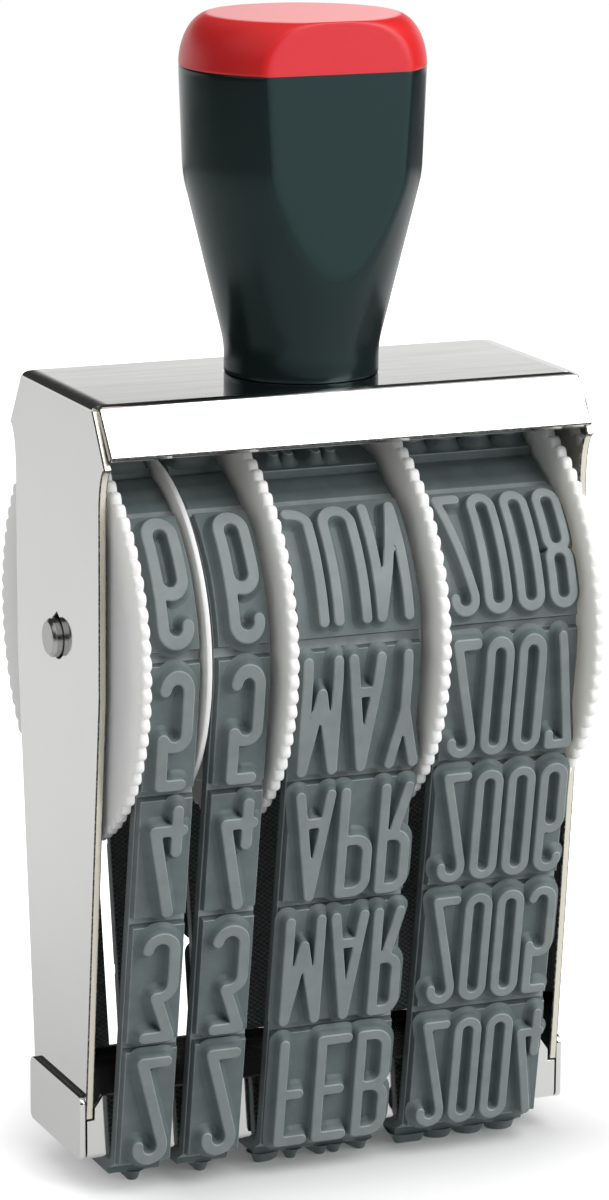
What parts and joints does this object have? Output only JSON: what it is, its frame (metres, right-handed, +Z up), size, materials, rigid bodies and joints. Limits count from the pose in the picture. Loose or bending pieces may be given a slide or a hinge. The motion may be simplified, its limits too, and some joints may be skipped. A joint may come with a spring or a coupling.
{
  "type": "date stamp",
  "caption": "Hand-held band date stamp: endless rubber type bands run over toothed thumbwheels on one axle in a folded metal frame with a bridge and a capped handle.",
  "frame": {"origin": "on the printing face, under the middle of the frame", "axes": "+X to the right along the axle, -Y to the front, +Z up through the handle"},
  "size_m": [0.0664, 0.0506, 0.1435],
  "materials": {
    "nickel": "bright nickel plate on folded sheet steel",
    "steel": "turned bright steel",
    "white_plastic": "moulded white plastic",
    "grey_rubber": "moulded grey-green rubber",
    "black_weave": "black woven carrier of the band",
    "black_plastic": "polished black plastic",
    "red_plastic": "satin red plastic"
  },
  "bodies": {
    "stamp_frame": {"frame": "nickel", "bridge": "nickel", "axle": "steel", "day_tens_band": "grey_rubber", "day_units_band": "grey_rubber", "month_band": "grey_rubber", "year_band": "grey_rubber", "day_tens_backing": "black_weave", "day_units_backing": "black_weave", "month_backing": "black_weave", "year_backing": "black_weave", "handle_body": "black_plastic", "handle_cap": "red_plastic", "handle_screw": "steel", "screw_washer": "steel"},
    "day_tens": {"day_tens_wheel": "white_plastic"},
    "day_units": {"day_units_wheel": "white_plastic"},
    "month": {"month_wheel": "white_plastic"},
    "year": {"year_wheel": "white_plastic"},
    "separator": {"separator_disc": "white_plastic"}
  },
  "joints": [
    {"name": "day_tens_turn", "type": "hinge", "parent": "stamp_frame", "child": "day_tens", "pos_m": [0, 0, 0.0682], "axis": [1, 0, 0], "continuous": true},
    {"name": "day_units_turn", "type": "hinge", "parent": "stamp_frame", "child": "day_units", "pos_m": [0, 0, 0.0682], "axis": [1, 0, 0], "continuous": true},
    {"name": "month_turn", "type": "hinge", "parent": "stamp_frame", "child": "month", "pos_m": [0, 0, 0.0682], "axis": [1, 0, 0], "continuous": true},
    {"name": "year_turn", "type": "hinge", "parent": "stamp_frame", "child": "year", "pos_m": [0, 0, 0.0682], "axis": [1, 0, 0], "continuous": true},
    {"name": "separator_turn", "type": "hinge", "parent": "stamp_frame", "child": "separator", "pos_m": [0, 0, 0.0682], "axis": [1, 0, 0], "continuous": true}
  ]
}
